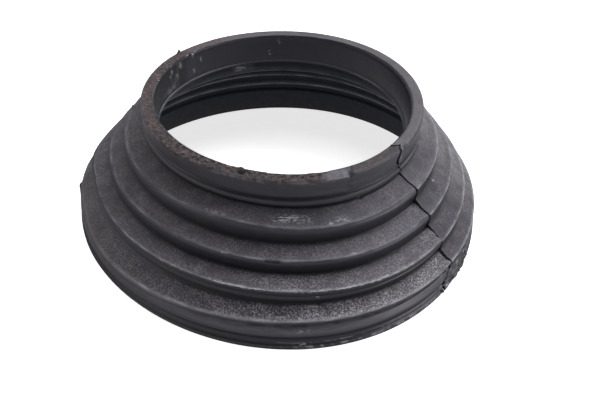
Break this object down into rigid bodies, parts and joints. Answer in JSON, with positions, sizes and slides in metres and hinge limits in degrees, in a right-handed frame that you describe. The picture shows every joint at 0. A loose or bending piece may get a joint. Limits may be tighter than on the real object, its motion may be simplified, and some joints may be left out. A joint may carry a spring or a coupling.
{
  "type": "bellows boot",
  "caption": "Short conical rubber bellows boot: a plain cuff at the small end, stepped folds and a clamp band at the large end. It seals a moving shaft or linkage.",
  "frame": {"origin": "centre of the large end's flat bottom face, on the boot's axis", "axes": "+Z along the axis from the large end up to the small cuff; +X and +Y level; the mould halves meet in the upright plane that holds the direction 36 degrees from +X towards -Y"},
  "size_m": [0.12, 0.12, 0.0386],
  "materials": {
    "rubber": "worn matt black rubber, grey with dust"
  },
  "bodies": {
    "root": {"bellows_boot": "rubber"}
  },
  "joints": []
}
